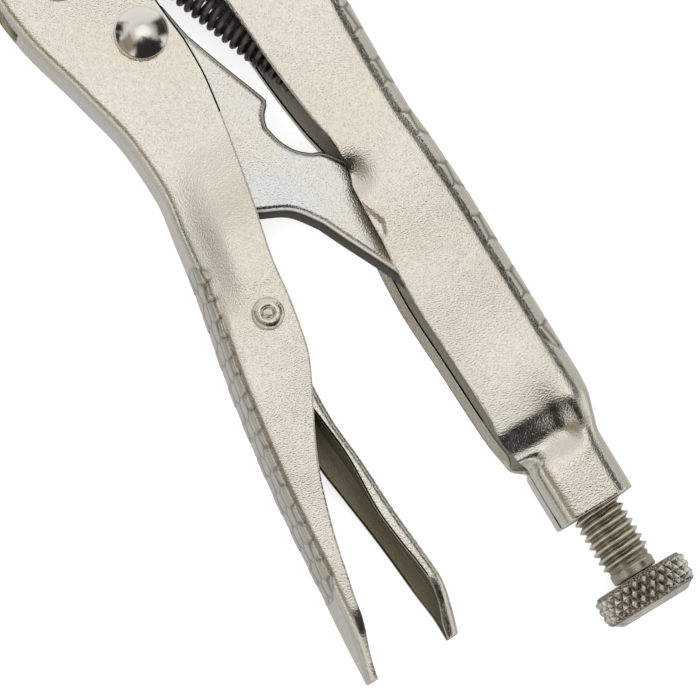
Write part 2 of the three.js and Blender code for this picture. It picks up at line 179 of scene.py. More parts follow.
def curve(points):
    """A smooth curve through (x, value) points, as a function of x, that never overshoots them."""
    xs, ys = np.array(points, float).T
    spans = np.diff(xs)
    rises = np.diff(ys) / spans
    before, after = rises[:-1], rises[1:]
    agree = before * after > 0
    total = np.where(agree, before + after, 1)
    slopes = np.concatenate([rises[:1], np.where(agree, 2 * before * after / total, 0), rises[-1:]])

    def at(x):
        x = np.clip(x, xs[0], xs[-1])
        i = np.clip(np.searchsorted(xs, x, side="right") - 1, 0, len(spans) - 1)
        t = (x - xs[i]) / spans[i]
        low = ys[i] * (1 + 2 * t) + slopes[i] * spans[i] * t
        high = ys[i + 1] * (3 - 2 * t) + slopes[i + 1] * spans[i] * (t - 1)
        return low * (1 - t) ** 2 + high * t ** 2

    return at


def rise(x, low, high):
    """Rises smoothly from 0 at low to 1 at high."""
    t = np.clip((x - low) / (high - low), 0, 1)
    return t * t * (3 - 2 * t)


def bump(x, middle, width):
    """A bell curve, 1 at its middle."""
    return np.exp(-((x - middle) / width) ** 2)


def arc(centre, radius, start, end, count):
    """Points of an arc, between two angles in degrees."""
    angles = np.radians(np.linspace(start, end, count + 1))
    return [(centre[0] + radius * math.cos(a), centre[1] + radius * math.sin(a)) for a in angles]


def smooth(points, count):
    """Points along a Catmull-Rom curve through the given ones."""
    knots = np.array([points[0], *points, points[-1]], float)
    result = []
    spans = len(points) - 1
    for u in np.linspace(0, spans, count + 1):
        i = min(int(u), spans - 1)
        t = u - i
        a, b, c, d = knots[i:i + 4]
        bend = (c - a) * t + (2 * a - 5 * b + 4 * c - d) * t ** 2 + (3 * b - a - 3 * c + d) * t ** 3
        result.append(tuple(b + bend / 2))
    return result


def unit(vectors):
    """The vectors at length 1."""
    return vectors / np.maximum(np.linalg.norm(vectors, axis=-1, keepdims=True), 1e-9)


# ---- meshes

def signed_volume(points, faces):
    total = 0.0
    for corners in (np.array([f for f in faces if len(f) == n]) for n in (3, 4)):
        for k in range(1, corners.shape[1] - 1 if len(corners) else 0):
            a, b, c = (points[corners[:, i]] for i in (0, k, k + 1))
            total += np.einsum("ij,ij->i", a, np.cross(b, c)).sum()
    return total


def linked(name, data):
    """An object with this data, in the scene."""
    item = bpy.data.objects.new(name, data)
    bpy.context.scene.collection.objects.link(item)
    return item


def mesh_object(name, points, faces):
    """A mesh in the scene, from points in the row frame."""
    mesh = bpy.data.meshes.new(name)
    mesh.from_pydata(points, [], faces)
    return linked(name, mesh)


def bmesh_object(name, shape):
    mesh = bpy.data.meshes.new(name)
    shape.to_mesh(mesh)
    shape.free()
    return linked(name, mesh)


def mesh_piece(name, points, faces, sharp=SHARP):
    """A closed mesh from points in the tool's frame, with its faces turned outward."""
    points = np.asarray(points, float).reshape(-1, 3)
    if signed_volume(points, faces) < 0:
        faces = [f[::-1] for f in faces]
    piece = mesh_object(name, place(points).tolist(), [list(map(int, f)) for f in faces])
    shade(piece, sharp)
    return piece


def shade(piece, sharp):
    piece.data.shade_smooth()
    piece.data.set_sharp_from_angle(angle=math.radians(sharp))


def mark(piece, name, values):
    """Stores a value at each point, for the piece's material."""
    attribute = piece.data.attributes.new(name, "FLOAT", "POINT")
    attribute.data.foreach_set("value", np.ascontiguousarray(values, np.float32).ravel())


def apply_modifiers(piece):
    graph = bpy.context.evaluated_depsgraph_get()
    baked = bpy.data.meshes.new_from_object(piece.evaluated_get(graph))
    piece.modifiers.clear()
    piece.data = baked


def subtract(piece, tool):
    """Cuts a tool out of a piece and removes the tool."""
    cut = piece.modifiers.new("cut", "BOOLEAN")
    cut.operation = "DIFFERENCE"
    cut.solver = "EXACT"
    cut.object = tool
    apply_modifiers(piece)
    bpy.data.objects.remove(tool)


def grid_faces(rows, columns, start=0, closed=False):
    """Quads between neighbours in a grid of points, numbered row by row."""
    i, j = np.meshgrid(np.arange(rows - 1), np.arange(columns if closed else columns - 1), indexing="ij")
    a = start + i * columns + j
    b = start + i * columns + (j + 1) % columns
    return np.stack([a, b, b + columns, a + columns], -1).reshape(-1, 4)


def closed_sheet(outer, inner):
    """Points and faces of a body between two grids of points of the same shape."""
    rows, columns = outer.shape[:2]
    size = rows * columns
    index = np.arange(size).reshape(rows, columns)
    faces = [grid_faces(rows, columns), grid_faces(rows, columns, size)[:, ::-1]]
    for edge, way in ((index[0], -1), (index[-1], 1), (index[:, 0], 1), (index[:, -1], -1)):
        quads = np.stack([edge[:-1], edge[:-1] + size, edge[1:] + size, edge[1:]], -1)
        faces.append(quads[:, ::way])
    return np.concatenate([outer.reshape(-1, 3), inner.reshape(-1, 3)]), np.concatenate(faces)


def rounded(grid, toward, rim, first):
    """Rounds a grid off at its first or last row, from its flat to the rim's face."""
    base, beside = (grid[0], grid[1]) if first else (grid[-1], grid[-2])
    away = unit(base - beside)
    rows = [base - away * rim * (1 - math.sin(a)) + toward * rim * (1 - math.cos(a)) for a in ROUNDING]
    end = np.stack(rows[::-1] if first else rows)
    return np.concatenate([end, grid[1:]] if first else [grid[:-1], end])


def folded_sheet(name, outer, normal, thickness, relief, grooves, rim=RIM, cut=0.0, inner_shade=0.6):
    """A folded sheet from a grid of its outer face, with relief on that face and rounded rims all round.

    cut sets the inner face back from the opening edges, so that the edge slants, and inner_shade sets how
    strongly painted shade darkens that face.
    """
    inner = outer - thickness * normal - cut * unit(np.gradient(outer, axis=1))
    outer = outer + relief[..., None] * normal
    for _ in range(2):  # the opening edges first, then the front and rear ends
        outer, inner = outer.swapaxes(0, 1), inner.swapaxes(0, 1)
        for row, first in ((0, True), (-1, False)):
            toward = unit(inner[row] - outer[row])
            outer, inner = rounded(outer, toward, rim, first), rounded(inner, -toward, rim, first)
    piece = mesh_piece(name, *closed_sheet(outer, inner))
    outside = np.pad(grooves, len(ROUNDING) - 1, mode="edge").ravel()
    # Mask of painted shade in the grooves of the outer face.
    mark(piece, "groove", np.concatenate([outside, 0 * outside]))
    # Mask of painted shade over the inner face.
    mark(piece, "inside", np.concatenate([0 * outside, inner_shade + 0 * outside]))
    return piece


def drilled(piece, *centres):
    """Cuts round holes across the tool."""
    shape = bmesh.new()
    for centre in centres:
        radius = HOLE_RADII[centre] * MM
        bmesh.ops.create_cone(
            shape, cap_ends=True, segments=48, radius1=radius, radius2=radius,
            depth=DRILL_LENGTH * MM, matrix=Matrix.Translation(spot(*centre)))
    subtract(piece, bmesh_object("cutter", shape))
    return piece


def prism(name, outline, thickness, z=0.0):
    """A plate with a side-view outline, centred on height z."""
    count = len(outline)
    low = [(x, y, z - thickness / 2) for x, y in outline]
    high = [(x, y, z + thickness / 2) for x, y in outline]
    area = sum(a[0] * b[1] - b[0] * a[1] for a, b in zip(outline, outline[1:] + outline[:1]))
    order = list(range(count)) if area > 0 else list(range(count))[::-1]
    faces = [order[::-1], [count + i for i in order]]
    for i, j in zip(order, order[1:] + order[:1]):
        faces.append([i, j, count + j, count + i])
    return mesh_object(name, place(low + high).tolist(), faces)


def bevelled(piece, width, segments, weights):
    """Rounds the rim edges of a plate; weights gives each outline point's share of the width."""
    mesh = piece.data
    count = len(mesh.vertices) // 2
    values = np.zeros(len(mesh.edges), np.float32)
    for edge in mesh.edges:
        a, b = edge.vertices
        if (a < count) == (b < count):
            values[edge.index] = min(weights[a % count], weights[b % count])
    attribute = mesh.attributes.new("bevel_weight_edge", "FLOAT", "EDGE")
    attribute.data.foreach_set("value", values)
    bevel = piece.modifiers.new("rim", "BEVEL")
    bevel.width = width * MM
    bevel.segments = segments
    bevel.limit_method = "WEIGHT"
    bevel.use_clamp_overlap = False
    apply_modifiers(piece)
    return piece


def finished_plate(piece, *holes):
    """Drills a plate and shades it so that large flat faces stay flat beside rounded rims."""
    drilled(piece, *holes)
    shade(piece, PLATE_SHARP)
    piece.modifiers.new("normals", "WEIGHTED_NORMAL").keep_sharp = True
    apply_modifiers(piece)
    return piece


def turned(name, heights, radii, pivot=None, sharp=SHARP):
    """A turned body about the screw's axis, or across the tool at a pivot, closed on its axis at both ends.

    radii is a grid of (height, angle).
    """
    rows, segments = radii.shape
    angles = np.linspace(0, 2 * math.pi, segments, endpoint=False)
    heights = np.broadcast_to(np.reshape(heights, (rows, -1)), radii.shape)
    a, b = radii * np.cos(angles), radii * np.sin(angles)
    if pivot is None:
        points = np.stack([heights, a, b], -1)
    else:
        points = np.stack([a + pivot[0], b + pivot[1], heights], -1)
    poles = np.array([points[0].mean(0), points[-1].mean(0)])
    start, end = rows * segments, rows * segments + 1
    faces = grid_faces(rows, segments, closed=True).tolist()
    for j in range(segments):
        k = (j + 1) % segments
        faces.append([start, k, j])
        faces.append([end, (rows - 1) * segments + j, (rows - 1) * segments + k])
    return mesh_piece(name, np.concatenate([points.reshape(-1, 3), poles]), faces, sharp)


def turned_profile(profile, segments, step=0.35):
    """Heights and radii of a turned body along straight profile lines of (radius, height)."""
    points = [profile[0]]
    for (r0, h0), (r1, h1) in zip(profile, profile[1:]):
        count = max(1, round(math.hypot(r1 - r0, h1 - h0) / step))
        points += [(r0 + (r1 - r0) * i / count, h0 + (h1 - h0) * i / count) for i in range(1, count + 1)]
    radii, heights = np.array(points).T
    return heights, np.repeat(radii[:, None], segments, 1)


def swept(name, path, radius, sides):
    """A round wire along a path, with closed ends."""
    path = np.asarray(path, float)
    tangents = unit(np.gradient(path, axis=0))
    normal = unit(np.cross(tangents[0], (0, 0, 1)))
    angles = np.linspace(0, 2 * math.pi, sides, endpoint=False)
    rings = []
    for point, tangent in zip(path, tangents):
        normal = unit(normal - tangent * np.dot(normal, tangent))
        other = np.cross(tangent, normal)
        rings.append(point + radius * (np.outer(np.cos(angles), normal) + np.outer(np.sin(angles), other)))
    faces = grid_faces(len(path), sides, closed=True).tolist()
    last = (len(path) - 1) * sides
    caps = [list(range(sides))[::-1], [last + i for i in range(sides)]]
    flat = [[cap[0], cap[i], cap[i + 1]] for cap in caps for i in range(1, sides - 1)]
    return mesh_piece(name, np.concatenate(rings), faces + flat, 60)


# ---- handle sections

def channel_grid(back, edges, half_width, bend, side, counts):
    """Outer face of a folded channel: y and z of its sections, from the far opening edge to the near one.

    back, edges, half_width and bend are columns with a value for each station.
    """
    flat_count, bend_count, wall_count = counts
    flat = np.linspace(0, 1, flat_count + 1)
    turn = np.linspace(0, math.pi / 2, bend_count + 1)[1:]
    up = np.sin(np.linspace(0, math.pi / 2, wall_count + 1)[1:])
    halves = []
    for edge in edges:
        corner = back + side * bend
        y = np.concatenate(
            [back + 0 * flat, corner - side * bend * np.cos(turn), corner + (edge - corner) * up], 1)
        z = np.concatenate(
            [(half_width - bend) * flat, half_width - bend + bend * np.sin(turn), half_width + 0 * up], 1)
        halves.append((y, z))
    (near_y, near_z), (far_y, far_z) = halves
    y = np.concatenate([far_y[:, :0:-1], near_y], 1)
    z = np.concatenate([-far_z[:, :0:-1], near_z], 1)
    return y, z


def section_normals(y, z, side):
    """Outward directions of a channel's sections, in the plane of each section."""
    along = unit(np.stack([np.gradient(y, axis=1), np.gradient(z, axis=1)], -1))
    return np.stack([0 * y, -side * along[..., 1], side * along[..., 0]], -1)


def across(y, z):
    """Distance round each section from the middle of its back, below zero on the far side."""
    steps = np.hypot(np.diff(y, axis=1), np.diff(z, axis=1))
    length = np.concatenate([np.zeros((len(y), 1)), np.cumsum(steps, 1)], 1)
    return length - length[:, [length.shape[1] // 2]]


def stations(*runs):
    """Places along X from (start, end, step) runs."""
    parts = [np.linspace(a, b, max(2, round((b - a) / step) + 1))[:-1] for a, b, step in runs]
    return np.concatenate([*parts, [runs[-1][1]]])[:, None]


def scales(x, s, length, width, groove):
    """Stamped pattern of staggered cells: 1 in the grooves between them, falling to 0 inside."""
    row = np.floor(x / length)
    found = []
    for dr in (-1, 0, 1):
        r = row + dr
        shift = np.where(r % 2 == 0, 0, 0.5)
        column = np.round(s / width - shift)
        for dc in (-1, 0, 1):
            c = column + dc
            wobble = 0.10 * np.sin(12.9898 * r + 78.233 * c)
            centre_x = (r + 0.5 + wobble) * length
            centre_s = (c + shift + 0.7 * wobble) * width
            found.append(np.hypot((x - centre_x) / length, (s - centre_s) / width))
    nearest = np.sort(np.stack(found), 0)
    return np.exp(-((nearest[1] - nearest[0]) / groove) ** 2)


def zone(x, s, start, end, half, corner):
    """Signed distance to a rounded rectangle on the unrolled sheet, below zero inside."""
    dx = np.abs(x - (start + end) / 2) - (end - start) / 2 + corner
    ds = np.abs(s) - half + corner
    outside = np.hypot(np.maximum(dx, 0), np.maximum(ds, 0))
    return outside + np.minimum(np.maximum(dx, ds), 0) - corner


def stamped_scales(x, s, start, end, half, length, width, area_shade=0.0, groove=0.10):
    """Relief of a grip area, shallow scales with a fine line round them, and a mask for painted shade: its
    grooves, and at least the given share over the whole area.
    """
    distance = zone(x, s, start, end, half, 5)
    inside = 1 - rise(distance, -0.35, 0.1)
    grooves = np.maximum(inside * scales(x, s, length, width, groove), 0.7 * bump(distance, -0.05, 0.24))
    return 0.04 * inside - 0.15 * grooves, np.maximum(grooves, area_shade * inside)


# ---- fixed handle

fixed_back = curve([
    (0, -TUBE_RADIUS), (10, -7.25), (12.7, -7.7), (16.3, -8.6), (20, -9.3), (23, -9.6), (58, -9.5), (72, -9),
    (80, -8.4), (98, -8.8), (112, -9.3), (126, -10.6), (140, -12.3), (FIXED_FRONT, -13.5),
])
fixed_edge = curve([
    (11, 7.9), (12.3, 8.4), (16, 8.9), (22, 9.4), (37, 9.9), (48, 10.3), (55, 10), (61, 9.4), (68, 9.1),
    (71, 8.8), (73.5, 7.9), (79, 7.6), (86, 8.6), (96, 9.7), (108, 10.6), (125, 12.4), (134, 14.4), (140, 16.2),
    (146, 16.8), (FIXED_FRONT, 16.8),
])
fixed_half_width = curve([
    (0, TUBE_HALF), (9, 6.85), (12, 6.7), (14.8, 6.62), (20.2, 7.7), (24, GRIP_HALF),
])
fixed_bend = curve([(0, TUBE_CORNER), (12, 4.3), (20, 4.5), (96, 4.5), (118, 2.2)])


def tube_section():
    """Half of the tail tube's outer section, as distance from the middle of its back, y and z."""
    turn = np.linspace(0, math.pi / 2, 25)
    y = [[-TUBE_RADIUS], TUBE_CORNER - TUBE_RADIUS - TUBE_CORNER * np.cos(turn),
         TUBE_RADIUS - SEAM_CORNER + SEAM_CORNER * np.sin(turn), [TUBE_RADIUS]]
    z = [[0], TUBE_HALF - TUBE_CORNER + TUBE_CORNER * np.sin(turn),
         TUBE_HALF - SEAM_CORNER + SEAM_CORNER * np.cos(turn), [SEAM_WIDTH / 2]]
    y, z = np.concatenate(y), np.concatenate(z)
    distance = np.concatenate([[0], np.cumsum(np.hypot(np.diff(y), np.diff(z)))])
    return distance, y, z


def rolled(y, z, share, counts):
    """Moves channel sections towards the tail tube by a share between 0 and 1 for each station."""
    distance, tube_y, tube_z = tube_section()
    s = across(y, z)
    middle = y.shape[1] // 2
    kept = counts[0] + counts[1]
    corner = TUBE_HALF - TUBE_CORNER + TUBE_CORNER * math.pi / 2
    target = s.copy()
    for sign, half in ((1, target[:, middle:]), (-1, target[:, middle::-1])):
        length = np.abs(half)
        start, end = length[:, [kept]], length[:, [-1]]
        wall = (length[:, kept:] - start) / (end - start)
        half[:, :kept] = sign * (length[:, :kept] * corner / start)
        half[:, kept:] = sign * (corner + wall * (distance[-1] - corner))
    round_y = np.interp(np.abs(target), distance, tube_y)
    round_z = np.sign(target) * np.interp(np.abs(target), distance, tube_z)
    return y + (round_y - y) * share, z + (round_z - z) * share


def circle_front(y, centre, radius):
    """The front of a circle at each height."""
    return centre[0] + np.sqrt(np.maximum(radius ** 2 - (y - centre[1]) ** 2, 0))


def fixed_front(y):
    """Where the fixed handle ends in front, at each height."""
    slant = np.interp(y, [-12, JAW_PIVOT[1]], [FIXED_FRONT, FIXED_FRONT_TOP])
    return np.where(y > JAW_PIVOT[1], circle_front(y, JAW_PIVOT, WALL_TOP_RADIUS), slant)


def sheared(x, start, end, front):
    """Stations moved so that the last one lies on a curved front, as the rest follow."""
    share = np.clip((x - start) / (end - start), 0, 1)
    return np.where(x > start, start + share * (front - start), x)


def fixed_relief(x, y, z, s):
    """Scales on the back, dents in both walls, and a nick in the near one."""
    scaled, grooves = stamped_scales(x, s, 27, 122, 8.9, 5.6, 7.0)
    pinch = 0.95 * bump(x, 73, 2.8) * bump(y, 8.0, 2.8)
    dish = 0.7 * bump(x, 15, 6) * bump(y, -1.5, 3.5) * rise(x, 9, 14)
    hollow = 0.45 * bump(x, 14.6, 3.2) * bump(y, 5.5, 4)
    fill = 0.85 * bump(x, 15.8, 4.5) * rise(-y, 0.5, 5) * rise(np.abs(z), 3.5, 6)
    slope = 0.34 * np.abs(x - 63)
    nick = (z > 0) * rise(y, 7.3 + slope, 7.7 + slope)
    nick = nick * rise(x, 60.2, 61.2) * (1 - rise(x, 67, 68.2))
    wave = 0.10 * np.sin(x / 9.0 + 0.6) * bump(y, 2, 5) * rise(x, 22, 34) * (np.abs(z) > 7)
    return scaled - pinch - dish - hollow + fill - NICK_DEPTH * nick + wave, grooves


def fixed_handle():
    x = stations((0, 8.8, 0.55), (8.8, 25, 0.4), (25, 124, 0.36), (124, FIXED_FRONT, 1.2))
    counts = (10, 22, 26)
    edge = fixed_edge(sheared(x, FIXED_SHEAR_FROM, FIXED_FRONT, JAW_PIVOT[0]))
    near_edge = edge + 0.8 * bump(x, 18.5, 4)
    y, z = channel_grid(fixed_back(x), (near_edge, edge), fixed_half_width(x), fixed_bend(x), 1, counts)
    y, z = rolled(y, z, 1 - rise(x, TUBE_END, TUBE_ROLLED_TO), counts)
    place_x = sheared(x, FIXED_SHEAR_FROM, FIXED_FRONT, fixed_front(y))
    s = across(y, z)
    relief, grooves = fixed_relief(place_x, y, z, s)
    outer = np.stack([place_x, y, z], -1)
    cut = 1.3 * np.sign(s) * rise(np.abs(s), 8, 17) * rise(x, 13, 17) * (1 - rise(x, 60, 90))
    piece = folded_sheet(
        "fixed_handle_shell", outer, section_normals(y, z, 1), SHEET, relief, grooves, cut=cut[..., None])
    return drilled(piece, JAW_PIVOT, REAR_RIVET, FRONT_RIVET)


def spring_tab():
    """The tab inside the fixed handle that holds the rear end of the spring."""
    x, y = SPRING_REAR
    half_width, thickness = 2.2, 1.6
    low = float(fixed_back(x)) + SHEET - 0.3
    side = [(-half_width, low), (half_width, low), *arc((0, y - 0.2), half_width, 0, 180, 12)]
    hole = arc((0, y), 1, 0, 360, 16)[:-1]
    shape = bmesh.new()
    outer = [shape.verts.new(spot(x - thickness / 2, b, a)) for a, b in side]
    inner = [shape.verts.new(spot(x - thickness / 2, b, a)) for a, b in hole]
    edges = [shape.edges.new(pair) for ring in (outer, inner) for pair in zip(ring, ring[1:] + ring[:1])]
    bmesh.ops.triangle_fill(shape, edges=edges, use_beauty=True)
    extruded = bmesh.ops.extrude_face_region(shape, geom=shape.faces[:])
    moved = [v for v in extruded["geom"] if isinstance(v, bmesh.types.BMVert)]
    bmesh.ops.translate(shape, verts=moved, vec=(thickness * MM, 0, 0))
    bmesh.ops.recalc_face_normals(shape, faces=shape.faces[:])
    piece = bmesh_object("spring_tab", shape)
    shade(piece, PLATE_SHARP)
    return piece


# ---- moving handle and lever

moving_back = curve([
    (-6, 51.9), (-3.3, 51.5), (4, 50.4), (12, 49.6), (22, 48.8), (32, 47.8), (41.5, 46.5), (51, 45),
    (60.4, 43.1), (69.6, 41.3), (79, 39.9), (88, 38.7), (97, 39.1), (110, 41.9), (124.5, 45.6), (131.2, 46.3),
    (MOVING_END, 46.3),
])
moving_edge = curve([
    (-6, 49.9), (-4.5, 49.7), (-1.8, 49.2), (1.2, 48.4), (4.4, 47.5), (8.2, 46.8), (12, 45.9), (16, 45),
    (22, 43.4), (30.8, 40.4), (35.7, 38.2), (40.5, 35.7), (45.2, 33.2), (50.1, 31), (54.7, 29.9),
    (60.1, 28.9), (67, 28), (76.3, 25.8), (81.8, 24.5), (88.2, 23.1), (96.7, 21.5), (104, 20.6), (109, 20.5),
    (114.6, 21), (123, 21.5), (131.2, 21.7), (MOVING_END, 21.7),
])
moving_tip = [(-6, 2.2), (-3, 3.7), (0, 5.5), (3, 7), (7, 7.7)]
moving_half_width = curve([
    *moving_tip, (66, GRIP_HALF), (74, 7.45), (84, 6.3),
    (94, NECK_HALF), (MOVING_END, NECK_HALF),
])
spine_half_width = curve([
    *moving_tip, (57, GRIP_HALF), (68, 6.9), (80, 5.8), (91, NECK_HALF),
    (MOVING_END, NECK_HALF),
])


def moving_front(y, z):
    """Where the moving handle ends in front: an arc, with its back cut away between the walls."""
    walls = rise(np.abs(z), 3.3, 4.3)
    return NECK_BACK_END + (circle_front(y, HANDLE_PIVOT, NECK_FRONT_RADIUS) - NECK_BACK_END) * walls


def moving_handle():
    shear = (MOVING_SHEAR_FROM, MOVING_END)
    x = stations((-6, 9, 0.5), (9, 75, 0.33), (75, MOVING_SHEAR_FROM, 1.1), (*shear, 1.1))
    counts = (17, 10, 24)
    pivot_x = HANDLE_PIVOT[0]
    edge = moving_edge(sheared(x, *shear, pivot_x))
    back = moving_back(np.minimum(x, pivot_x))
    y, z = channel_grid(back, (edge, edge), moving_half_width(x), MOVING_BEND + 0 * x, -1, counts)
    spine = 1 - rise(back - y, 1, 8)
    z = z * (1 + (spine_half_width(x) / moving_half_width(x) - 1) * spine)
    place_x = sheared(x, *shear, moving_front(y, z))
    y = y + (moving_back(np.minimum(place_x, pivot_x)) - back) * (y - edge) / (back - edge)
    # Painted shade in the grooves, and a weaker painted shade over the whole grip area.
    relief, grooves = stamped_scales(place_x, across(y, z), 10, 73.5, 8.3, 3.5, 6.2, area_shade=0.25, groove=0.17)
    outer = np.stack([place_x, y, z], -1)
    piece = folded_sheet("moving_handle_shell", outer, section_normals(y, z, -1), SHEET, relief, grooves)
    return drilled(piece, HANDLE_PIVOT, LINK_PIVOT, LEVER_PIVOT)


lever_back = curve([
    (-6.4, 33.2), (-2, 32.1), (4, 31.2), (10, 31.6), (19, 32.3), (28, 32.6), (38, 33.3), (50, 32.6),
    (71.5, 29.8),
])
lever_near_edge = curve([
    (-6.4, 35.5), (-3.8, 35.1), (0.2, 33.9), (4, 33.4), (8, 33.7), (12, 34.3), (20, 35), (30, 34.6), (38, 35.2),
    (44, 36), (52, 37.4), (59, 38.4), (65, 37), (71.5, 32.6),
])
lever_far_edge = curve([
    (-6.4, 35.2), (-1.4, 34.9), (3, 35.2), (14, 36.1), (25, 37.4), (32, 38.2), (38, 38.4), (59, 38.4), (65, 37),
    (71.5, 32.6),
])
lever_half_width = curve([(-6.4, 2.2), (-3, 3.6), (0.5, 5), (5, 5.8), (54, 5.8), (60, 5.5), (71.5, 3.9)])


def crossed(one, other):
    """Two families of grooves a unit apart, 1 at the bottom of a groove and 0 midway between them."""
    return np.maximum(np.abs(one % 1 - 0.5), np.abs(other % 1 - 0.5)) * 2


def release_lever():
    x = stations((-6.4, 4, 0.45), (4, 27, 0.28), (27, 71.5, 0.9))
    bend = np.full_like(x, LEVER_BEND)
    edges = (lever_near_edge(x), lever_far_edge(x))
    y, z = channel_grid(lever_back(x), edges, lever_half_width(x), bend, 1, (16, 8, 8))
    s = across(y, z)
    inside = 1 - rise(zone(x + 0 * s, s, 5, 26, 5.2, 2), -0.6, 0.2)
    grooves = inside * crossed((x + s) / LEVER_KNURL, (x - s) / LEVER_KNURL) ** 3
    relief = 0.08 * inside - 0.30 * grooves
    outer = np.stack([x + 0 * y, y, z], -1)
    normal = section_normals(y, z, 1)
    # Full painted shade on the lever's inner faces.
    piece = folded_sheet("release_lever_shell", outer, normal, LEVER_SHEET, relief, grooves, rim=0.28, inner_shade=1.0)
    return drilled(piece, LEVER_PIVOT)


# ---- link and jaws

def toggle_link():
    outline = [
        *arc(LINK_PIVOT, 7, -65, 95, 20),
        *smooth([(108, 33.3), (96, 31.2), (84, 29.4), (78, 28.2), (75.9, 25.2), (73.2, 19.9),
                 (68.6, 16.3)], 40),
        *smooth([(63.7, 14), (56, 10.2), (51.5, 8.2), (48.8, 5.5)], 14),
        *arc(LINK_FOOT, 3.5, 170, 285, 16),
        *smooth([(60, -1.6), (70, 2.4), (79, 8.4), (80.9, 11.2), (82.8, 13.3), (85.6, 14.8), (88.7, 15.5)], 36),
        (89.9, 15.2), (90.9, 14.7), (91.5, 14.2), (92.2, 13.5), (93.1, 13.1), (93.9, 13.3),
        *smooth([(96.6, 14.3), (102.2, 16.4), (110.2, 19.2)], 12),
    ]
    piece = bevelled(prism("toggle_link_plate", outline, TANG_THICKNESS), LINK_RIM, 7, [1.0] * len(outline))
    return finished_plate(piece, LINK_PIVOT)


def grip_face(grip, side):
    """The outline points of a toothed grip, bowed into the jaw."""
    start, end = np.array(grip, float)
    run = end - start
    over = unit(np.array([-run[1], run[0]])) * side
    teeth = round(np.linalg.norm(run) / TOOTH_PITCH)
    points = []
    for i in range(2 * teeth + 1):
        t = i / (2 * teeth)
        depth = 4 * GRIP_SAG * t * (1 - t) + (i % 2) * TOOTH_DEPTH
        points.append(tuple(start + run * t + over * depth))
    return points


def forging(name, *parts):
    """A jaw's body from (points, share of the rim's rounding) parts of its outline."""
    points = [p for part, _ in parts for p in part]
    weights = [w for part, w in parts for _ in part]
    return bevelled(prism(name, points, JAW_THICKNESS), JAW_RIM, 6, weights)


def fixed_jaw():
    seat = [(x, float(fixed_back(x)) + SHEET + 0.3) for x in np.linspace(124, 160.8, 14)]
    outer = smooth([(161, -13.4), (173, -12.6), (185, -9), (196, -2), (203.5, 5), (207.6, 12)], 40)
    piece = forging(
        "fixed_jaw_forging", (seat, 0.15), (outer, 1.0), (grip_face(FIXED_GRIP, -1)[::-1], 0.13),
        ([(163.6, 7.2)], 0.18), (arc(JAW_PIVOT, 8, 0, -125, 30), 0.12), ([(138, -2.4), (124, -2.4)], 0.12))
    return finished_plate(piece, REAR_RIVET, FRONT_RIVET)


def moving_jaw():
    tip = smooth([(205.8, 21.2), (201, 28.5), (191, 34.6), (178, 38), (160, 40), (145, 42.4)], 40)
    piece = forging(
        "moving_jaw_forging", (arc(HANDLE_PIVOT, 9, 90, 195, 20), 0.18),
        ([(125.6, 25), (128.6, 19), (136, 11.5)], 0.18), (arc(JAW_PIVOT, 7.6, 160, 368, 40), 0.15),
        ([(163.4, 9)], 0.15), (grip_face(MOVING_GRIP, 1), 0.13), (tip, 1.0))
    depth = (JAW_THICKNESS - TANG_THICKNESS) / 2 + 1
    height = (TANG_THICKNESS + depth) / 2
    tang = [(110, 8.5), (135, 8.5), (138.5, 14), (139.5, 24), *arc(HANDLE_PIVOT, 13, -42, 88, 30),
            (131.2, 50), (110, 50)]
    for z in (height, -height):
        subtract(piece, prism("relief", tang, depth, z))
    return finished_plate(piece, JAW_PIVOT, HANDLE_PIVOT, SPRING_HOOK)


# ---- turned pieces

def tooth(t):
    """A tooth of a thread: 0 at the root, 1 at the crest, with both a little rounded."""
    flank = np.clip((1 - 2 * np.abs(t % 1 - 0.5) - 0.14) / 0.74, 0, 1)
    return 0.65 * flank + 0.35 * rise(flank, 0, 1)


def adjusting_screw():
    segments, rows_per_turn = 60, 20
    start, end = THREAD_START, THREAD_END
    x = np.linspace(start, end, round((end - start) / PITCH * rows_per_turn))[:, None]
    angle = np.linspace(0, 1, segments, endpoint=False)[None, :]
    root, tip = SCREW_RADIUS - THREAD_DEPTH, SCREW_RADIUS - 0.1
    thread = root + THREAD_DEPTH * rise(x, start, start + PITCH) * tooth(x / PITCH - angle)
    thread = thread + (tip - thread) * rise(x, end - PITCH, end)
    head = [(0.5, -18.1), (3.4, -18.1), (3.4, KNOB_FRONT + 0.15), (COLLAR_RADIUS - 0.3, KNOB_FRONT + 0.15),
            (COLLAR_RADIUS, KNOB_FRONT + 0.45), (COLLAR_RADIUS, start - 0.45), (root, start - 0.05)]
    tail = [(tip, end + 0.1), (tip, SCREW_TIP - 1.2), (3.5, SCREW_TIP), (0.5, SCREW_TIP)]
    head_heights, head_radii = turned_profile(head, segments)
    tail_heights, tail_radii = turned_profile(tail, segments)
    heights = np.concatenate([head_heights, x[:, 0], tail_heights])
    radii = np.concatenate([head_radii, np.broadcast_to(thread, (len(x), segments)), tail_radii])
    return turned("adjusting_screw_body", heights, radii, sharp=75)


def knob():
    segments, teeth = 336, 28
    back, front = KNOB_BACK, KNOB_FRONT
    profile = [
        (0.6, back), (6.3, back), (6.9, back + 0.12), (8.0, back + 0.95), (8.25, back + 1.0),
        (KNOB_RADIUS, back + 1.7), (KNOB_RADIUS, front - 0.9), (8.3, front - 0.12), (7.9, front),
        (4.6, front), (3.9, front - 0.3), (3.9, front - 4.2), (0.6, front - 4.3),
    ]
    heights, radii = turned_profile(profile, segments, 0.2)
    angle = np.linspace(0, teeth, segments, endpoint=False)[None, :]
    rows = heights[:, None] / KNURL_PITCH
    groove = np.clip((crossed(rows + angle, rows - angle) - 0.2) / 0.8, 0, 1)
    rim = rise(radii, 8.2, 8.9)
    return turned("knob_body", heights, radii - KNURL_DEPTH * rim * groove)


